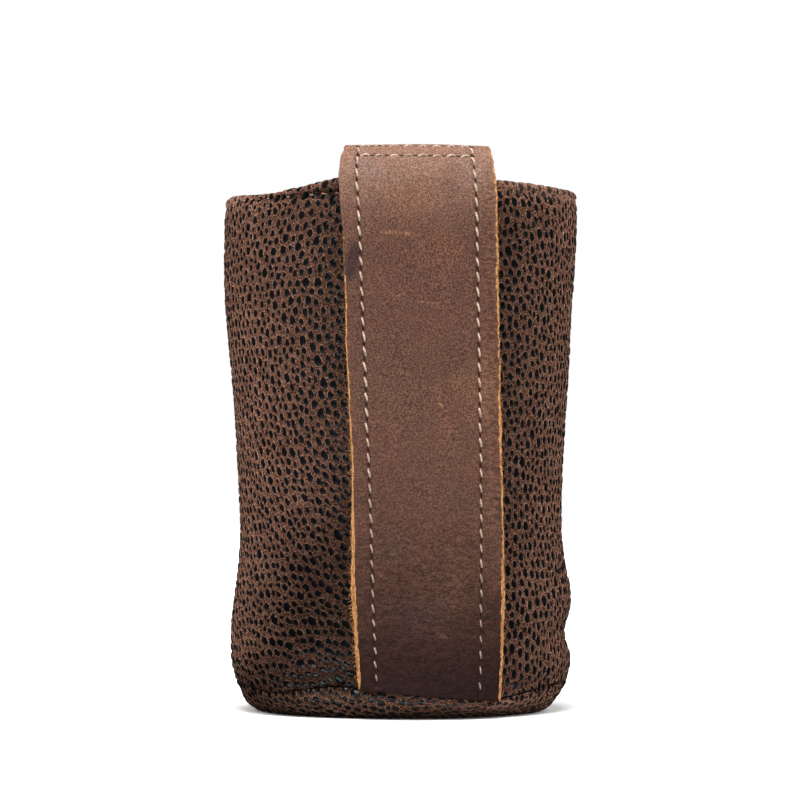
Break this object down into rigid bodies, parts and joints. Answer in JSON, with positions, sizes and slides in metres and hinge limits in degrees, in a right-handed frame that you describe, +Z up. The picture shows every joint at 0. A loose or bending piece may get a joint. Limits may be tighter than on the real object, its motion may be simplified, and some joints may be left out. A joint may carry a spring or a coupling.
{
  "type": "can cooler sleeve",
  "caption": "Soft pebbled-leather sleeve with a foam liner that holds one drink can, with a broad stitched leather hand strap down its front.",
  "frame": {"origin": "centre of the flat base's underside, on the sleeve's axis", "axes": "+Z up along the sleeve's axis, -Y towards the strap, +X to the right when the strap faces the viewer"},
  "size_m": [0.0839, 0.0904, 0.1299],
  "materials": {
    "pebbled_leather": "pebbled brown leather with near-black glossy pebble tops",
    "strap_leather": "smooth oiled pull-up leather, satin, raw tan edges",
    "liner_foam": "matt black knit-faced foam",
    "sewing_thread": "beige twisted thread"
  },
  "bodies": {
    "root": {"wall_leather": "pebbled_leather", "base_leather": "pebbled_leather", "wall_liner": "liner_foam", "base_pad": "liner_foam", "strap_face": "strap_leather", "strap_backing": "strap_leather", "rim_thread": "sewing_thread", "strap_thread_left": "sewing_thread", "strap_thread_right": "sewing_thread", "strap_thread_upper": "sewing_thread", "strap_thread_lower": "sewing_thread"}
  },
  "joints": []
}
